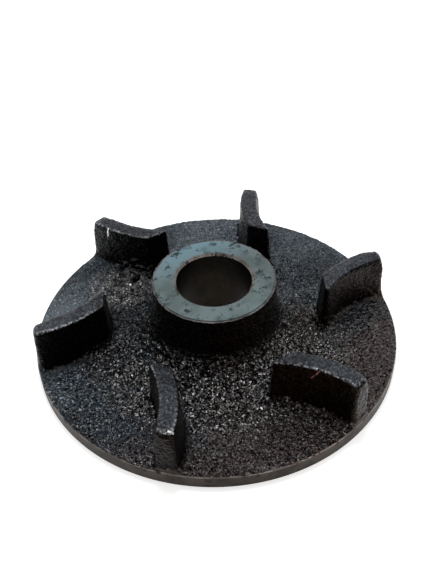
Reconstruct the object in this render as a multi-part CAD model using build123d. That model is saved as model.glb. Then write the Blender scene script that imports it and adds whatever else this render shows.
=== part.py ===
from build123d import *
import math
import os

# Impeller of a cooling-water pump, open type: one grey-iron sand casting, then turned and bored.
# A thin disc sweeps up into a central hub, and six curved vanes stand on the disc's top face.
# Frame: origin at the centre of the flat back face, +Z along the bore towards the vanes, millimetres.

# ---------------------------------------------------------------- driving dimensions
disc_radius = 39.0          # turned rim
disc_thickness = 3.1        # back face to the cast top face
rim_edge_break = 0.2        # lathe chamfer on both rim edges
rim_stock = 3.0             # extra radius on the raw casting, turned away last

overall_height = 17.0       # back face to the machined hub face
hub_face_radius = 12.5      # machined face of the hub
hub_lip_width = 0.35        # rough cast lip left around the machined face
hub_face_step = 0.15        # the lip lies this far below the machined face
hub_draft = 4.0             # degrees the cast hub wall opens towards the disc
hub_flare_radius = 8.5      # concave sweep from the hub wall into the disc

bore_radius = 7.94          # press fit on the pump shaft
bore_chamfer = 0.5          # lead-in at both ends, 45 degrees

vane_count = 6
first_vane_angle = 14.7     # degrees from +X to the first vane's tip
vane_drop = 3.0             # hub face down to the flat tops of the vanes
vane_tip_setback = 0.9      # rim in to a vane's outer end, at its top
vane_eye_gap = 0.8          # foot of the hub flare out to a vane's inner end, at its foot
vane_inlet_angle = 40.0     # degrees between a vane and its ring at the inner end; the tip is radial
vane_thickness = 3.8        # at a vane's top
vane_draft = 3.0            # degrees, on all four sides
vane_root_fillet = 1.5      # where a vane grows out of the disc
vane_edge_round = 0.5       # along the edges of a vane's flat top
vane_corner_round = 0.5     # upright corners of a vane, at its top

# ---------------------------------------------------------------- sizes that follow
vane_rise = overall_height - vane_drop - disc_thickness
hub_lip_radius = hub_face_radius + hub_lip_width
hub_rise = overall_height - disc_thickness
hub_foot_radius = hub_lip_radius + hub_rise * math.tan(math.radians(hub_draft))
flare_foot_radius = hub_foot_radius + hub_flare_radius * math.tan(math.radians((90 - hub_draft) / 2))

# A vane's middle line, seen from above with its tip on +X, is one arc. It leaves the tip along
# the radius and meets the ring of the inner ends at the inlet angle, which fixes its radius.
inlet = math.radians(vane_inlet_angle)
tip_radius = disc_radius - vane_tip_setback
root_radius = flare_foot_radius + vane_eye_gap + vane_rise * math.tan(math.radians(vane_draft))
curve_radius = (tip_radius**2 - root_radius**2) / (2 * root_radius * math.cos(inlet))
curve_centre = Vector(tip_radius, -curve_radius)


def triangle_angle(left, right, opposite):
    """Angle between two sides of a triangle, from the lengths of its three sides."""
    return math.acos((left**2 + right**2 - opposite**2) / (2 * left * right))


def curve_point(radius, turn):
    """Point on a circle about the curve's centre, turned back from the tip by this angle."""
    return curve_centre + Vector(-math.sin(turn), math.cos(turn)) * radius


def root_turn(radius):
    """Turn at which such a circle meets a vane's inner end, a line square to the impeller's radius."""
    bore_turn = math.atan2(tip_radius, curve_radius)
    middle_turn = bore_turn - triangle_angle(curve_centre.length, curve_radius, root_radius)
    return middle_turn + inlet - math.acos(curve_radius * math.cos(inlet) / radius)


def curve_arc(radius, start, end):
    """Arc about the curve's centre between two turns."""
    stops = [curve_point(radius, turn) for turn in (start, (start + end) / 2, end)]
    return ThreePointArc(*stops)


def vane_top():
    """Flat top of a vane, seen from above with its tip on +X, with rounded corners."""
    back = curve_radius + vane_thickness / 2
    hollow = curve_radius - vane_thickness / 2
    back_side = curve_arc(back, 0, root_turn(back))
    hollow_side = curve_arc(hollow, root_turn(hollow), 0)
    inner_end = Line(back_side @ 1, hollow_side @ 0)
    outer_end = Line(hollow_side @ 1, back_side @ 0)
    outline = make_face([back_side, inner_end, hollow_side, outer_end])
    return fillet(outline.vertices(), vane_corner_round)


def vane():
    """One drafted vane with its tip on +X, standing on the disc's top face."""
    top_plane = Plane.XY.offset(disc_thickness + vane_rise)
    upright = extrude(top_plane * vane_top(), -vane_rise)
    drafted = draft(upright.faces().filter_by(Plane.XY, reverse=True), top_plane, vane_draft)
    return fillet(drafted.faces().sort_by(Axis.Z)[-1].edges(), vane_edge_round)


def disc_and_hub():
    """Cast body before the vanes: the disc, with stock on its rim, sweeping up into the hub."""
    lip_height = overall_height - hub_face_step
    profile = Polyline(
        (0, 0),
        (disc_radius + rim_stock, 0),
        (disc_radius + rim_stock, disc_thickness),
        (hub_foot_radius, disc_thickness),
        (hub_lip_radius, lip_height),
        (hub_face_radius, lip_height),
        (hub_face_radius, overall_height),
        (0, overall_height),
        close=True,
    )
    body = revolve(make_face(Plane.XZ * profile), Axis.Z)
    foot = body.edges().filter_by(GeomType.CIRCLE).sort_by_distance((hub_foot_radius, 0, disc_thickness))[0]
    return fillet(foot, hub_flare_radius)


def casting():
    """Raw casting: the body with its ring of vanes, each blended into the disc by a root fillet."""
    body = disc_and_hub()
    blade = vane()
    ring = [place * blade for place in PolarLocations(0, vane_count, start_angle=first_vane_angle)]
    joined = body + ring
    # The disc's top is the face with the most openings: the hub's, then one for each vane's foot.
    disc_top = joined.faces().sort_by(lambda face: len(face.inner_wires()))[-1]
    flare_foot, *feet = disc_top.inner_wires().sort_by_distance((0, 0, disc_thickness))
    return fillet([edge for foot in feet for edge in foot.edges()], vane_root_fillet)


def machined(raw):
    """The casting with its rim turned and its bore cut through, edges broken."""
    outer = disc_radius + 2 * rim_stock
    rim_cut = Polyline(
        (disc_radius - rim_edge_break, 0),
        (disc_radius, rim_edge_break),
        (disc_radius, disc_thickness - rim_edge_break),
        (disc_radius - rim_edge_break, disc_thickness),
        (disc_radius - rim_edge_break, overall_height),
        (outer, overall_height),
        (outer, 0),
        close=True,
    )
    chamfer_radius = bore_radius + bore_chamfer
    bore_cut = Polyline(
        (0, 0),
        (chamfer_radius, 0),
        (bore_radius, bore_chamfer),
        (bore_radius, overall_height - bore_chamfer),
        (chamfer_radius, overall_height),
        (0, overall_height),
        close=True,
    )
    for cut in (rim_cut, bore_cut):
        raw -= revolve(make_face(Plane.XZ * cut), Axis.Z)
    return raw


impeller = machined(casting())
impeller.label = "impeller"
os.makedirs("parts", exist_ok=True)
export_step(impeller, "parts/impeller.step")
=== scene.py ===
import math
from collections import Counter
from functools import partial
from types import SimpleNamespace

import bpy
from mathutils import Matrix, Vector


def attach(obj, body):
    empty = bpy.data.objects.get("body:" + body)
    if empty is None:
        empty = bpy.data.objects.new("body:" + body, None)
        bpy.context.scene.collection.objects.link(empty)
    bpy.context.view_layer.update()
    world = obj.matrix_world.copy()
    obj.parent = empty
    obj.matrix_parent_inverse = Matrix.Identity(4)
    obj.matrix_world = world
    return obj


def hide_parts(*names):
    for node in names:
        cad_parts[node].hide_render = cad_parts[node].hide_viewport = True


# A pump impeller of grey cast iron: the raw sand casting, then the faces that a lathe has turned.
# Lengths are metres. MM turns a size in millimetres into metres.
MM = 0.001

# ---------------------------------------------------------------- the finished machining envelope
RIM_RADIUS = 39.0 * MM
RIM_BREAK = 0.2 * MM
DISC_TOP = 3.1 * MM
HUB_TOP = 17.0 * MM
HUB_FACE_RADIUS = 12.5 * MM
LIP_STEP = 0.15 * MM        # the hub's rough lip lies this far below its machined face
VANE_TOP = 14.0 * MM
BORE_RADIUS = 7.94 * MM
BORE_CHAMFER = 0.5 * MM
STOCK = 1.2 * MM            # iron left on the casting where it is turned
NEAR = 0.01 * MM            # a vertex this close to a turned face belongs to it
LEVEL = 0.9                 # a face whose normal rises or falls more than this lies level

# ---------------------------------------------------------------- the sand-cast skin
# A height is the strength of the noise that moves the skin. The relief it leaves is far lower.
SKIN_MESH = 0.33 * MM       # mesh size of the casting, fine enough for its grain
GRAIN = 0.8 * MM            # width of a clump of sand grains
GRAIN_HEIGHT = 1.20 * MM
PEEL = 1.3 * MM             # rounder lumps where the sand held
PEEL_HEIGHT = 0.22 * MM
WAVE = 3.5 * MM             # slow unevenness of the mould wall
WAVE_HEIGHT = 0.32 * MM
VANES_START = 17 * MM       # anything tall is a vane outside this radius, and the hub inside it
SCAB = Vector((-21.0, 14.5, 3.1)) * MM  # middle of a patch where the mould's skin broke away
PORE = Vector((-18.5, 16.7, 3.1)) * MM  # small blow hole in that patch, with a swollen edge
PORE_SWELLING = 0.5 * MM
PORE_SWELLING_REACH = 2.2 * MM
PORE_DEPTH = 1.7 * MM
PORE_REACH = 1.4 * MM


# ================================================================ modelling
def select_only(*objects):
    """Deselect everything, then select these, with the last one active."""
    bpy.ops.object.select_all(action="DESELECT")
    for item in objects:
        item.select_set(True)
        bpy.context.view_layer.objects.active = item


def select_where(item, kind, test):
    """In edit mode, select just the vertices or faces that pass a test."""
    bpy.ops.mesh.select_mode(type="FACE" if kind == "polygons" else "VERT")
    bpy.ops.mesh.select_all(action="DESELECT")
    bpy.ops.object.mode_set(mode="OBJECT")
    for part in getattr(item.data, kind):
        part.select = test(part)
    bpy.ops.object.mode_set(mode="EDIT")


def apply_modifier(item, kind, **settings):
    """Add one modifier to the active object and apply it."""
    modifier = item.modifiers.new(kind.lower(), kind)
    for name, value in settings.items():
        setattr(modifier, name, value)
    bpy.ops.object.modifier_apply(modifier=modifier.name)


def radius_of(point):
    """Distance from the axis of the bore."""
    return math.hypot(point.x, point.y)


def between(low, high, value):
    """0 at one limit, 1 at the other, and a straight slope between them."""
    return min(max((value - low) / (high - low), 0), 1)


def weigh(item, name, weight_at):
    """Vertex group whose weight at each vertex comes from its place."""
    group = item.vertex_groups.new(name=name)
    for vertex in item.data.vertices:
        group.add([vertex.index], weight_at(vertex.co), "REPLACE")
    return group.name


def casting_blank(node):
    """The CAD part's own shape with stock put back on every face that is turned later."""
    blank = node.copy()
    blank.data = node.data.copy()
    blank.name = blank.data.name = "impeller_casting"
    bpy.context.scene.collection.objects.link(blank)
    blank.parent = None
    blank.data.materials.clear()
    select_only(blank)
    bpy.ops.object.mode_set(mode="EDIT")
    bpy.ops.mesh.select_all(action="SELECT")
    bpy.ops.mesh.remove_doubles(threshold=0.001 * MM)
    moves = (
        (lambda v: radius_of(v.co) > RIM_RADIUS - RIM_BREAK - NEAR, 0, 1 + STOCK / RIM_RADIUS),
        (lambda v: radius_of(v.co) < BORE_RADIUS + BORE_CHAMFER + NEAR, 0, 1 - STOCK / BORE_RADIUS),
        (lambda v: v.co.z < NEAR, -STOCK, 1),
        (lambda v: v.co.z > HUB_TOP - LIP_STEP - NEAR, STOCK, 1),
    )
    for test, lift, growth in moves:
        select_where(blank, "vertices", test)
        bpy.ops.transform.resize(value=(growth, growth, 1), center_override=(0, 0, 0))
        bpy.ops.transform.translate(value=(0, 0, lift))
    bpy.ops.object.mode_set(mode="OBJECT")
    return blank


# Each of these says how much of something there is at a place, from 0 to 1.
def on_vane(place):
    return between(5 * MM, 7 * MM, place.z) * (radius_of(place) > VANES_START)


def on_vane_top(place):
    return between(11.5 * MM, 12.5 * MM, place.z) * (radius_of(place) > VANES_START)


def on_tip_corner(place):
    """The top of a vane's outer end."""
    return between(35 * MM, 36.5 * MM, radius_of(place)) * between(11 * MM, 12.5 * MM, place.z)


def wave_share(place):
    """The upright walls came straighter out of the mould, and so did the top of the hub."""
    return 1 - 0.5 * on_vane(place) - 0.4 * between(15.5 * MM, 16.5 * MM, place.z)


def grain_share(place):
    """The grain is coarsest round the hub's foot, where the iron washed the sand."""
    outer = between(23 * MM, 31 * MM, radius_of(place))
    hub_wall = between(6 * MM, 9 * MM, place.z) * (radius_of(place) < VANES_START)
    return max(1 - 0.55 * outer - 0.9 * on_vane(place), 0.18) * (1 - 0.6 * hub_wall)


def scab_share(place):
    return between(9 * MM, 4 * MM, (place - SCAB).length)


def peel_share(place):
    """The rounder lumps lie on the +Y half of the disc."""
    return between(0, 12 * MM, place.y) * (1 - on_vane(place)) * between(9 * MM, 6 * MM, place.z)


def wear_vanes_and_mark_highlights(blank):
    """Round the vanes' tops, and their tips more. The attribute made here marks the rounded top edges
    that face -Y on the vanes towards -X and -Y, for a painted highlight."""
    for name, share, passes in (("vane_tops", on_vane_top, 5), ("tip_corners", on_tip_corner, 60)):
        group = weigh(blank, name, share)
        apply_modifier(blank, "SMOOTH", factor=0.5, iterations=passes, vertex_group=group)
    edge_highlight = blank.data.attributes.new("edge_highlight", "FLOAT", "POINT")
    for vertex, value in zip(blank.data.vertices, edge_highlight.data):
        place, normal = vertex.co, vertex.normal
        turned_over = between(0.99, 0.94, normal.z) * between(0.6, 0.8, normal.z)
        # Only edges that face -Y, on the vanes towards -X and -Y, take the painted highlight.
        lit_side = between(0.1, -0.2, normal.y) * between(30 * MM, 15 * MM, place.x + place.y)
        value.value = on_vane_top(place) * (turned_over * lit_side)


def print_sand(blank):
    """The slow waves and the grain that a sand mould prints on the iron."""
    for size, height, basis, share in (
        (WAVE, WAVE_HEIGHT, "BLENDER_ORIGINAL", wave_share),
        (GRAIN, GRAIN_HEIGHT, "VORONOI_F1", grain_share),
        (1.5 * GRAIN, 2 * GRAIN_HEIGHT, "IMPROVED_PERLIN", scab_share),
        (PEEL, PEEL_HEIGHT, "BLENDER_ORIGINAL", peel_share),
    ):
        sand = bpy.data.textures.new("mould_sand", "CLOUDS")
        sand.noise_scale = size
        sand.noise_basis = basis
        sand.noise_depth = 1
        group = weigh(blank, "grain", share)
        apply_modifier(blank, "DISPLACE", texture=sand, texture_coords="LOCAL", strength=height,
                       mid_level=0.5, vertex_group=group)


def push_skin(item, place, lift, reach):
    """Lift the skin at one spot on the disc, or press it in by a negative lift. It fades out over
    the reach."""
    spot = 1.2 * SKIN_MESH
    bpy.ops.object.mode_set(mode="EDIT")
    select_where(item, "vertices", lambda v: abs(v.co.z - place.z) < MM and radius_of(v.co - place) < spot)
    bpy.ops.transform.translate(value=(0, 0, lift), use_proportional_edit=True,
                                proportional_edit_falloff="SMOOTH", proportional_size=reach)
    bpy.ops.object.mode_set(mode="OBJECT")


def cast_skin(blank):
    """Turn the blank into a sand casting: an even fine mesh, worn, grained and with its blow hole."""
    select_only(blank)
    apply_modifier(blank, "REMESH", mode="VOXEL", voxel_size=SKIN_MESH, use_smooth_shade=True)
    apply_modifier(blank, "SMOOTH", factor=0.5, iterations=2)
    wear_vanes_and_mark_highlights(blank)
    print_sand(blank)
    push_skin(blank, PORE, PORE_SWELLING, PORE_SWELLING_REACH)
    push_skin(blank, PORE, -PORE_DEPTH, PORE_REACH)


def select_caps(item, *sides):
    """In edit mode, select the round end faces that look up (1), down (-1) or either way. The
    rings round them are quads."""
    select_where(item, "polygons",
                 lambda face: len(face.vertices) > 4 and any(face.normal.z * side > LEVEL for side in sides))


def turned_envelope():
    """Solid of everything the lathe leaves: the stepped disc with its bore, edges broken."""
    bpy.ops.object.select_all(action="DESELECT")
    bpy.ops.mesh.primitive_cylinder_add(vertices=360, radius=RIM_RADIUS, depth=DISC_TOP,
                                        location=(0, 0, DISC_TOP / 2))
    envelope = bpy.context.object
    bpy.ops.object.transform_apply(location=True, rotation=True, scale=True)
    bpy.ops.object.mode_set(mode="EDIT")
    select_caps(envelope, 1, -1)
    bpy.ops.mesh.bevel(offset=RIM_BREAK, segments=1, affect="EDGES")
    select_caps(envelope, 1)
    bpy.ops.mesh.extrude_region_move(TRANSFORM_OT_translate={"value": (0, 0, HUB_TOP - LIP_STEP - DISC_TOP)})
    bpy.ops.mesh.inset(thickness=RIM_RADIUS - RIM_BREAK - HUB_FACE_RADIUS)
    bpy.ops.mesh.extrude_region_move(TRANSFORM_OT_translate={"value": (0, 0, LIP_STEP)})
    bpy.ops.mesh.bevel(offset=LIP_STEP / 2, segments=1, affect="EDGES")
    select_caps(envelope, 1)
    bpy.ops.mesh.inset(thickness=HUB_FACE_RADIUS - LIP_STEP / 2 - BORE_RADIUS - BORE_CHAMFER)
    bpy.ops.mesh.inset(thickness=BORE_CHAMFER)
    select_caps(envelope, -1)
    bpy.ops.mesh.inset(thickness=RIM_RADIUS - RIM_BREAK - BORE_RADIUS - BORE_CHAMFER)
    bpy.ops.mesh.inset(thickness=BORE_CHAMFER)
    for side in (-1, 1):
        select_caps(envelope, side)
        bpy.ops.transform.translate(value=(0, 0, -side * BORE_CHAMFER))
    select_caps(envelope, 1, -1)
    bpy.ops.mesh.bridge_edge_loops()
    bpy.ops.mesh.select_all(action="SELECT")
    bpy.ops.mesh.normals_make_consistent(inside=False)
    bpy.ops.object.mode_set(mode="OBJECT")
    return envelope


def turn(casting, envelope, finishes):
    """Machine the casting down to the envelope. Each cut face takes the finish of its place."""
    for finish, _ in finishes:
        envelope.data.materials.append(finish)
    for face in envelope.data.polygons:
        matches = (index for index, (_, test) in enumerate(finishes) if test(face.center, face.normal))
        face.material_index = next(matches)
    select_only(casting)
    apply_modifier(casting, "BOOLEAN", operation="INTERSECT", object=envelope, solver="MANIFOLD",
                   material_mode="TRANSFER")
    bpy.data.objects.remove(envelope)
    close_seams(casting)


def close_seams(item):
    """Take out each seam vertex that joins only two edges. The same two faces meet on both sides of
    it, and cut into triangles they can leave a pair lying back to back there."""
    edges_at = Counter(end for edge in item.data.edges for end in edge.vertices)
    bpy.ops.object.mode_set(mode="EDIT")
    select_where(item, "vertices", lambda v: edges_at[v.index] == 2)
    bpy.ops.mesh.dissolve_verts()
    bpy.ops.object.mode_set(mode="OBJECT")


# ================================================================ materials
def linear(hex_colour):
    """sRGB hex to the linear colour that a shader takes."""
    channels = [int(hex_colour[i:i + 2], 16) / 255 for i in (1, 3, 5)]
    return [c / 12.92 if c <= 0.04045 else ((c + 0.055) / 1.055) ** 2.4 for c in channels] + [1.0]


def add_node(tree, kind, *inputs, output=None, stops=(), **settings):
    """Add a node and return one of its outputs, the first that it shows unless another is named.

    Inputs fill its open sockets in order. A setting is a property of the node or, with underscores
    for spaces, a socket. A socket takes a value, an sRGB hex colour, or another node's output.
    Stops are a colour ramp's (position, sRGB hex) pairs."""
    node = tree.nodes.new("ShaderNode" + kind)
    filled = {}
    for name, value in settings.items():
        if hasattr(node, name):
            setattr(node, name, value)
        else:
            filled[node.inputs[name.replace("_", " ")]] = value
    filled.update(zip([socket for socket in node.inputs if socket.enabled], inputs))
    for socket, value in filled.items():
        if isinstance(value, bpy.types.NodeSocket):
            tree.links.new(value, socket)
        else:
            socket.default_value = linear(value) if isinstance(value, str) else value
    for index, (position, colour) in enumerate(stops):
        while len(node.color_ramp.elements) <= index:
            node.color_ramp.elements.new(1)
        node.color_ramp.elements[index].position = position
        node.color_ramp.elements[index].color = linear(colour)
    if output:
        return node.outputs[output]
    return next((socket for socket in node.outputs if socket.enabled), None)


def new_material(name):
    """Material with an empty tree, and the function that adds nodes to it."""
    material = bpy.data.materials.new(name)
    material.use_nodes = True
    material.node_tree.nodes.clear()
    return material, partial(add_node, material.node_tree)


def where_all(add, mask, *others):
    """1 where each of these masks is 1, 0 where any is 0."""
    for other in others:
        mask = add("Math", mask, other, operation="MULTIPLY")
    return mask


def stroke(add, place, start, end, width):
    """1 on a short straight mark between two points given in millimetres, 0 elsewhere."""
    first, along = Vector(start) * MM, (Vector(end) - Vector(start)) * MM
    offset = add("VectorMath", place, first, operation="SUBTRACT")
    share = add("VectorMath", offset, along / along.length_squared, operation="DOT_PRODUCT")
    nearest = add("VectorMath", along, add("MapRange", share), operation="SCALE")
    aside = add("VectorMath", offset, nearest, operation="SUBTRACT")
    distance = add("VectorMath", aside, operation="LENGTH")
    return add("MapRange", distance, 0.6 * width * MM, 0.4 * width * MM)


def sand_pattern(add, place):
    """The sizes of the mould's grain, from stains down to single grains."""
    skin = SimpleNamespace()
    skin.stains = add("TexNoise", place, Scale=1 / (12 * MM), Detail=2.0)
    uneven = add("TexNoise", place, Scale=1 / (1.2 * MM), Detail=1.0, output="Color")
    warped = add("VectorMath", uneven, (1.2 * MM,) * 3, place, operation="MULTIPLY_ADD")
    skin.lumps = add("TexVoronoi", warped, feature="DISTANCE_TO_EDGE", Scale=1 / (0.8 * MM))
    skin.clumps = add("TexNoise", place, Scale=1 / (0.6 * MM), Detail=3.0)
    skin.shards = add("TexVoronoi", warped, Scale=1 / (0.4 * MM), output="Color")
    # The real sand is about 0.2 mm. Its grains are drawn at 0.28 mm, or they would not show.
    skin.grains = add("TexVoronoi", place, Scale=1 / (0.28 * MM), output="Color")
    skin.chance = add("SeparateXYZ", skin.grains, output="X")
    return skin


def map_casting(add, place, skin):
    """Where the skin differs over the casting: masks from 0 to 1 by place and by facing."""
    skin.y = add("SeparateXYZ", place, output="Y")
    skin.height = add("SeparateXYZ", place, output="Z")
    flattened = add("VectorMath", place, (1, 1, 0), operation="MULTIPLY")
    skin.radius = add("VectorMath", flattened, operation="LENGTH")
    normal = add("TexCoord", output="Normal")
    skin.facing = add("SeparateXYZ", normal, output="Z")
    sideways = add("SeparateXYZ", normal, output="X")
    away = add("VectorMath", place, (0.5, 0.85, 0), operation="DOT_PRODUCT")
    across = add("VectorMath", place, (0.5, -0.85, 0), operation="DOT_PRODUCT")

    # The iron washed the sand round the hub, most of all on the -Y side.
    skin.washed = where_all(add, add("MapRange", skin.radius, 32 * MM, 23 * MM, 0.25, 1.0),
                            add("MapRange", away, 15 * MM, 0.0, 0.4, 1.0))
    skin.front = where_all(add, add("MapRange", skin.radius, 31 * MM, 25 * MM),
                           add("MapRange", skin.y, 0.0, -12 * MM, 0.1, 1.0))
    from_scab = add("VectorMath", place, SCAB, operation="DISTANCE")
    skin.scab = add("MapRange", from_scab, 9 * MM, 5 * MM)
    skin.rough = add("Math", skin.front, skin.scab, operation="MAXIMUM")
    skin.calm = add("MapRange", across, -20 * MM, 6 * MM, 0.3, 1.0)
    # The disc and the flare, as against the upright walls. Faces that lean hard towards -X count as walls and
    # take the walls' darker colour: a painted shade.
    skin.floor = where_all(add, add("MapRange", skin.facing, 0.2, 0.65),
                           add("MapRange", skin.height, 9 * MM, 6 * MM),
                           add("MapRange", sideways, -0.7, -0.4))
    # The walls that face -X, and all those on the -X side, are painted blacker: a painted shade.
    x = add("SeparateXYZ", place, output="X")
    skin.clean = where_all(add, add("MapRange", x, -8 * MM, 4 * MM),
                           add("MapRange", sideways, -0.7, -0.3))
    # Warm and brown towards +X and -Y, lighter and bluer towards -X and +Y, mottled by the stains.
    skin.rust = add("Math", add("MapRange", skin.stains, 0.3, 0.7, -0.4, 0.4),
                    add("MapRange", across, -25 * MM, 28 * MM), operation="ADD")


def scale_colour(add, skin):
    """The black scale that a casting has from its mould. Its light grains and glints are painted highlights,
    and its dark gaps painted shade.
    """
    floor = add("ValToRGB", skin.rust, stops=((0.0, "#5f686e"), (0.5, "#3b434a"), (1.0, "#4a4240")))
    # The walls' near-black is partly the smoother scale of the mould's walls and partly painted shade. The
    # blacker of the two, for walls that face -X and for all walls on the -X side, is a painted shade.
    shaded_wall = add("ValToRGB", skin.rust, stops=((0.2, "#090a0c"), (1.0, "#130c07")))
    unshaded_wall = add("ValToRGB", skin.rust, stops=((0.2, "#121316"), (1.0, "#1f150d")))
    wall = add("Mix", skin.clean, shaded_wall, unshaded_wall, data_type="RGBA")
    colour = add("Mix", skin.floor, wall, floor, data_type="RGBA")
    # Dark gaps between clumps of grains: painted shade.
    gaps = add("ValToRGB", skin.clumps, stops=((0.36, "#303030"), (0.50, "#d8d8d8"), (0.64, "#ffffff")))
    colour = add("Mix", skin.calm, colour, gaps, data_type="RGBA", blend_type="MULTIPLY")
    # Dark cracks between the lumps: painted shade.
    cracks = add("ValToRGB", skin.lumps, stops=((0.05, "#101010"), (0.24, "#ffffff")))
    cracked = add("Mix", skin.floor, colour, cracks, data_type="RGBA", blend_type="MULTIPLY")
    colour = add("Mix", skin.washed, colour, cracked, data_type="RGBA")

    # Light single grains on the disc and the flare: painted glints.
    bright = where_all(add, add("MapRange", skin.chance, 0.68, 0.95, 0.0, 0.9),
                       add("MapRange", skin.washed, 0.0, 1.0, 0.3, 1.0), skin.calm, skin.floor)
    colour = add("Mix", bright, colour, "#9a9896", data_type="RGBA")
    # Lighter lumps at the front and in the torn patch, kept off the cracks: painted glints.
    shard_chance = add("SeparateXYZ", skin.shards, output="Y")
    glint = where_all(add, add("MapRange", shard_chance, 0.65, 0.8), skin.rough, skin.floor,
                      add("MapRange", skin.lumps, 0.05, 0.15))
    colour = add("Mix", glint, colour, "#cfccca", data_type="RGBA")
    # Light grey lumps in the torn patch: the bare grey of broken skin, made lighter as a painted highlight.
    torn_sand_and_highlight = where_all(add, skin.scab, skin.floor, add("MapRange", skin.clumps, 0.45, 0.6))
    colour = add("Mix", torn_sand_and_highlight, colour, "#8a8784", data_type="RGBA")
    # Where the skin lies well below the disc's top, as inside the blow hole, it is painted black: a painted
    # shade.
    above_hole = add("MapRange", skin.height, 2.4 * MM, 2.8 * MM)
    return add("Mix", above_hole, "#050505", colour, data_type="RGBA")


def vane_tops_edges_and_marks(add, place, skin, colour):
    """The vanes' tops, smoother than the rest, then a painted highlight on their top edges, and three marks.
    """
    on_top = where_all(add, add("MapRange", skin.height, VANE_TOP - 0.7 * MM, VANE_TOP - 0.4 * MM),
                       add("MapRange", skin.radius, 15 * MM, 16 * MM),
                       add("MapRange", skin.facing, 0.7, 0.9))
    vane_top = add("ValToRGB", skin.clumps, stops=((0.36, "#2b2d31"), (0.64, "#484b4f")))
    # Painted highlight on the vanes' top edges that face -Y, broken up by the grain and the stains.
    highlit_edge = where_all(add, add("Attribute", attribute_name="edge_highlight", output="Fac"),
                     add("MapRange", skin.clumps, 0.40, 0.60),
                     add("MapRange", skin.stains, 0.35, 0.6, 0.35, 1.0))
    colour = add("Mix", on_top, colour, vane_top, data_type="RGBA")
    colour = add("Mix", highlit_edge, colour, "#a3a4a6", data_type="RGBA")
    for start, end, width, mark in (
        ((-24.11, 22.53, 13.9), (-24.35, 22.43, 11.84), 0.4, "#f2f0ee"),    # pale nick
        ((19.02, -23.74, 13.77), (17.67, -23.34, 11.55), 0.3, "#7a5350"),   # reddish scratch
        ((-9.1, -36.1, 13.8), (-8.3, -36.3, 13.4), 0.45, "#dddad6"),        # painted highlight on a vane tip's corner
    ):
        colour = add("Mix", stroke(add, place, start, end, width), colour, mark, data_type="RGBA")
    return colour


def grain_normal(add, skin):
    """Rounded lumps, with each single grain tilted its own way, so that some catch the light."""
    peel = add("Math", skin.washed, add("MapRange", skin.y, 4 * MM, 14 * MM, 0.0, 0.8), operation="MAXIMUM")
    rounded = where_all(add, add("MapRange", skin.lumps, 0.0, 0.35, 0.0, 1.2), peel)
    relief = add("Math", skin.clumps, rounded, operation="ADD")
    high = add("Bump", Height=relief, Strength=0.9, Distance=0.25 * MM)
    cells = add("Mix", skin.rough, skin.grains, skin.shards, data_type="RGBA")
    tilt = add("VectorMath", cells, (0.5, 0.5, 0.5), operation="SUBTRACT")
    coarse = where_all(add, add("MapRange", skin.facing, 0.1, 0.7, 0.15, 1.0),
                       add("MapRange", skin.washed, 0.0, 1.0, 0.7, 1.0), skin.calm,
                       add("MapRange", skin.front, 0.0, 1.0, 1.0, 0.7))
    single = add("MapRange", skin.chance, 0.97, 0.975)
    lean = add("VectorMath", tilt, add("Math", coarse, single, operation="MAXIMUM"), operation="SCALE")
    return add("VectorMath", add("VectorMath", high, lean, operation="ADD"), operation="NORMALIZE")


def sand_cast_iron():
    """Grey iron as it comes from a green-sand mould, under its black scale. It looks nearly black,
    with a fine sparkle where single grains face the light, partly from their tilted normals and
    partly painted glints, and black gaps between them, a painted shade. The mould's upright walls
    print smoother than its floor, and their darker colour is partly painted shade. The vanes' top
    edges that face -Y carry a painted highlight."""
    material, add = new_material("sand_cast_grey_iron")
    place = add("TexCoord", output="Object")
    skin = sand_pattern(add, place)
    map_casting(add, place, skin)
    colour = vane_tops_edges_and_marks(add, place, skin, scale_colour(add, skin))
    surface = add("BsdfPrincipled", Base_Color=colour, Metallic=1.0, Roughness=0.34,
                  Normal=grain_normal(add, skin))
    add("OutputMaterial", surface)
    return material


def turned_iron(name, light, dark, pit, roughness, sheen_colour=None):
    """Grey iron cut in a lathe and gone dull with handling: even metal with small dark pits, where
    the graphite in it tore out under the tool. A sheen colour, laid on towards -X and +Y, is a painted
    reflection."""
    material, add = new_material(name)
    place = add("TexCoord", output="Object")
    stains = add("TexNoise", place, Scale=1 / (4 * MM), Detail=3.0)
    colour = add("ValToRGB", stains, stops=((0.35, dark), (0.6, light)))
    # The sheen colour towards -X and +Y is a painted reflection.
    if sheen_colour:
        side = add("VectorMath", place, (-0.45, 0.9, 0), operation="DOT_PRODUCT")
        sheen_side = add("MapRange", side, 3 * MM, 12 * MM)
        colour = add("Mix", sheen_side, colour, sheen_colour, data_type="RGBA")
    marks = add("TexNoise", place, Scale=1 / (1.8 * MM), Detail=5.0, Roughness=0.75)
    pits = where_all(add, add("MapRange", marks, 0.38, 0.48, 1.0, 0.0),
                     add("MapRange", stains, 0.38, 0.52, 0.3, 1.0))
    pitted = add("Mix", pits, colour, pit, data_type="RGBA")
    surface = add("BsdfPrincipled", Base_Color=pitted, Metallic=1.0, Roughness=roughness)
    add("OutputMaterial", surface)
    return material


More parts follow.
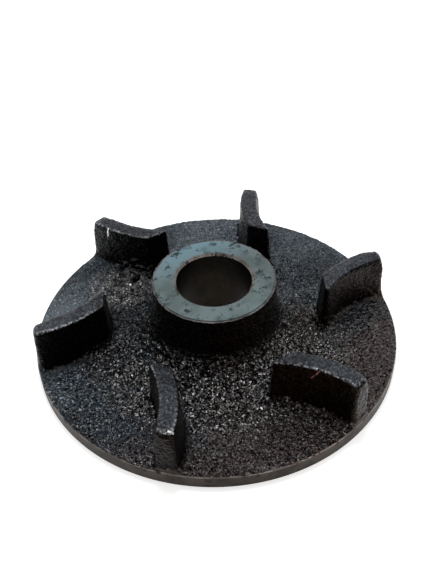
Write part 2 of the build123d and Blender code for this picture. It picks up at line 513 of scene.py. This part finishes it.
def finishes():
    """The lathe's finishes, each with the test for the faces that take it. The first that fits
    counts: dull grey on the faces, dark in the bore as painted shade, brightest on the chamfers as a painted
    highlight."""
    # The bore's near-black is painted shade: it is the same turned iron as the faces.
    shaded_bore = turned_iron("bore_iron_painted_shade", "#25201a", "#191612", "#12100e", 0.4)
    # The hub face's light blue towards -X and +Y is a painted reflection.
    hub_face = turned_iron("faced_grey_iron_with_painted_sheen", "#636f6f", "#545f5e", "#283133", 0.4, "#6b858e")
    lip = turned_iron("lip_grey_iron", "#6c6a6a", "#454140", "#262423", 0.5)
    # The chamfers' light colour is a painted highlight: they are the same turned iron as the faces.
    highlit_chamfer = turned_iron("chamfer_iron_painted_highlight", "#a09a96", "#6f6a66", "#3a3735", 0.45)
    rim = turned_iron("turned_rim_iron", "#403934", "#2c2723", "#1c1916", 0.5)
    return (
        (shaded_bore, lambda place, normal: radius_of(place) < BORE_RADIUS + 0.1 * MM),
        (highlit_chamfer, lambda place, normal: radius_of(place) < BORE_RADIUS + BORE_CHAMFER),
        (hub_face, lambda place, normal: radius_of(place) < HUB_FACE_RADIUS and place.z > HUB_TOP - LIP_STEP),
        (lip, lambda place, normal: place.z > HUB_TOP - 2 * LIP_STEP),
        (highlit_chamfer, lambda place, normal: normal.z > 0.5),
        (rim, lambda place, normal: True),
    )


# ================================================================ studio
def floor():
    """White floor. What sees it directly or in a reflection sees it lifted to the backdrop's white."""
    bpy.ops.object.select_all(action="DESELECT")
    bpy.ops.mesh.primitive_plane_add(size=6, location=(0, 0, -0.02 * MM))
    plane = bpy.context.object
    plane.name = "floor"
    material, add = new_material("white_sweep")
    camera_ray = add("LightPath", output="Is Camera Ray")
    glossy_ray = add("LightPath", output="Is Glossy Ray")
    seen = add("Math", camera_ray, glossy_ray, operation="MAXIMUM")
    surface = add("BsdfPrincipled", Base_Color="#f4f4f4", Roughness=0.9, Emission_Color="#ffffff",
                  Emission_Strength=add("Math", seen, 0.6, operation="MULTIPLY"))
    add("OutputMaterial", surface)
    plane.data.materials.append(material)


def surround():
    """White surround, which lights the object more from behind, on the +Y side."""
    world = bpy.data.worlds.new("surround")
    bpy.context.scene.world = world
    world.use_nodes = True
    world.node_tree.nodes.clear()
    add = partial(add_node, world.node_tree)
    direction = add("SeparateXYZ", add("TexCoord", output="Generated"), output="Y")
    behind = add("MapRange", direction, -0.2, 0.65, 0.35, 1.0)
    level = add("Math", behind, add("LightPath", output="Is Camera Ray"), operation="MAXIMUM")
    add("OutputWorld", add("Background", "#ffffff", level))


def lamps():
    """A broad soft key light overhead, and a small warm fill from the front right."""
    for name, place, size, power, colour in (
        ("key", (0.0, 0.10, 0.43), 0.10, 0.7, "#f4f7ff"),
        ("fill", (0.22, -0.30, 0.10), 0.15, 0.12, "#ffd9b8"),
    ):
        lamp = bpy.data.lights.new(name, "AREA")
        lamp.size = size
        lamp.energy = power
        lamp.color = linear(colour)[:3]
        holder = bpy.data.objects.new(name, lamp)
        holder.location = place
        holder.rotation_euler = (Vector((0, 0, 0.008)) - Vector(place)).to_track_quat("-Z", "Y").to_euler()
        bpy.context.scene.collection.objects.link(holder)


def camera():
    """Camera over the near rim, 43 degrees above the floor, rolled slightly."""
    elevation = math.radians(42.568)
    roll = math.radians(-2.335)
    distance, aside, above = 166.594, -0.302, 9.664     # from the frame's origin, in millimetres
    forward = Vector((0, math.cos(elevation), -math.sin(elevation)))
    level_right = Vector((1, 0, 0))
    level_up = Vector((0, math.sin(elevation), math.cos(elevation)))
    right = math.cos(roll) * level_right + math.sin(roll) * level_up
    up = -math.sin(roll) * level_right + math.cos(roll) * level_up
    place = (-distance * forward + aside * level_right + above * level_up) * MM
    lens = bpy.data.cameras.new("camera")
    lens.sensor_width = 36
    lens.lens = 45.99
    lens.clip_start = 0.01
    view = bpy.data.objects.new("camera", lens)
    view.matrix_world = Matrix.Translation(place) @ Matrix((right, up, -forward)).transposed().to_4x4()
    bpy.context.scene.collection.objects.link(view)
    bpy.context.scene.camera = view


# ================================================================ the object
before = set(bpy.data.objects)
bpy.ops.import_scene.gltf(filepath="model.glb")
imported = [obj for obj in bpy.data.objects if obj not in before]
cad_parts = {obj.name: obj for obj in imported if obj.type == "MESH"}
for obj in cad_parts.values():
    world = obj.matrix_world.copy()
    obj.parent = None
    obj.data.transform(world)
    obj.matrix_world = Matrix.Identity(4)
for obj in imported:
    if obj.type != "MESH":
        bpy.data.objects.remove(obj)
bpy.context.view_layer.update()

casting = casting_blank(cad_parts["impeller"])
cast_skin(casting)
casting.data.materials.append(sand_cast_iron())
turn(casting, turned_envelope(), finishes())
select_only(casting)
bpy.ops.object.shade_smooth_by_angle(angle=math.radians(40))
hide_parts("impeller")
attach(casting, "root")

floor()
surround()
lamps()
camera()
bpy.context.scene.view_settings.view_transform = "Standard"
